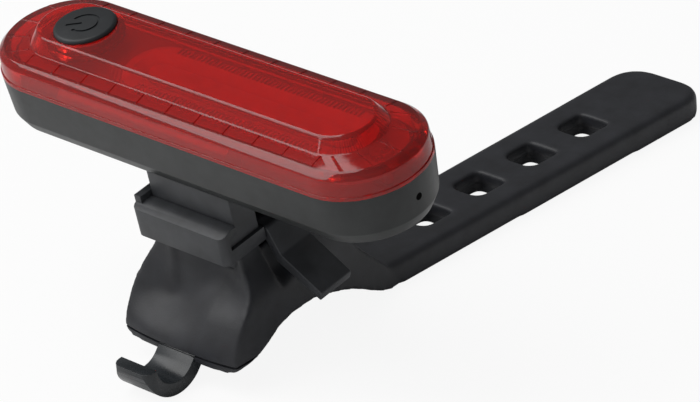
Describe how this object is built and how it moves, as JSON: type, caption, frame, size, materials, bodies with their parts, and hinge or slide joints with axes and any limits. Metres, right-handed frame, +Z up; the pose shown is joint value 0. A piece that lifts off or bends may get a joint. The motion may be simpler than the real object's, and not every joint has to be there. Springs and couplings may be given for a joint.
{
  "type": "bicycle rear light",
  "caption": "Rechargeable bicycle rear light with a clear red two-tier lens, press button, slide bracket with a thumb release, and a rubber strap with a hook for round posts.",
  "frame": {"origin": "on the surface that the strap and hook rest on, under the middle of the whole part's box", "axes": "+Z up, +Y along the strap's tail, away from the hook; +X along the lamp, away from its button"},
  "size_m": [0.085, 0.1294, 0.0502],
  "materials": {
    "housing_plastic": "satin dark grey moulding",
    "lens_red": "clear red, polished",
    "seal_rubber": "soft seal",
    "board_white": "white solder mask",
    "led_gel": "clear gel over chips",
    "reflector_white": "bright white",
    "switch_plastic": "moulded",
    "button_rubber": "matt rubber",
    "battery_foil": "foil pouch",
    "foam": "soft foam",
    "lead_red": "insulation",
    "lead_black": "insulation",
    "board_green": "green solder mask",
    "chip_black": "moulded",
    "usb_steel": "plated",
    "plug_rubber": "soft plug",
    "clear_pipe": "clear rod",
    "screw_steel": "plated",
    "bracket_plastic": "satin moulding",
    "hook_plastic": "smooth, a little glossy",
    "strap_rubber": "matt rubber"
  },
  "bodies": {
    "mount": {"strap": "strap_rubber", "hook": "hook_plastic", "bracket": "bracket_plastic"},
    "lamp": {"housing": "housing_plastic", "lens": "lens_red", "lens_gasket": "seal_rubber", "led_board": "board_white", "led_strip": "led_gel", "reflector": "reflector_white", "switch_body": "switch_plastic", "battery_cell": "battery_foil", "battery_pad": "foam", "battery_lead_red": "lead_red", "battery_lead_black": "lead_black", "control_board": "board_green", "controller_chip": "chip_black", "board_header": "chip_black", "usb_connector": "usb_steel", "charge_led": "led_gel", "charge_light_pipe": "clear_pipe", "board_screws": "screw_steel", "shoe": "bracket_plastic", "shoe_screws": "screw_steel"},
    "latch": {"release_latch": "bracket_plastic"},
    "button": {"button_cap": "button_rubber"},
    "plunger": {"switch_plunger": "switch_plastic"},
    "plug": {"usb_plug": "plug_rubber"}
  },
  "joints": [
    {"name": "light_slide", "type": "slide", "parent": "mount", "child": "lamp", "axis": [1, 0, 0], "range_m": [0, 0.0179]},
    {"name": "latch_press", "type": "hinge", "parent": "mount", "child": "latch", "pos_m": [-0.00575, -0.03912, 0.02395], "axis": [0, 0.9863, 0.165], "range_deg": [0, 6], "stiffness_Nm_per_rad": 0.3, "springref_deg": -1.15},
    {"name": "button_press", "type": "slide", "parent": "lamp", "child": "button", "axis": [0, 0.165, -0.9863], "range_m": [0, 0.0006], "stiffness_N_per_m": 1500, "springref_m": -0.0001},
    {"name": "plunger_press", "type": "slide", "parent": "lamp", "child": "plunger", "axis": [0, 0.165, -0.9863], "range_m": [0, 0.0006]},
    {"name": "plug_open", "type": "hinge", "parent": "lamp", "child": "plug", "pos_m": [0.0137, -0.03053, 0.03938], "axis": [0, -0.165, 0.9863], "range_deg": [0, 110]}
  ],
  "couplings": [
    {"joint": "plunger_press", "follows": "button_press", "ratio": 1}
  ]
}
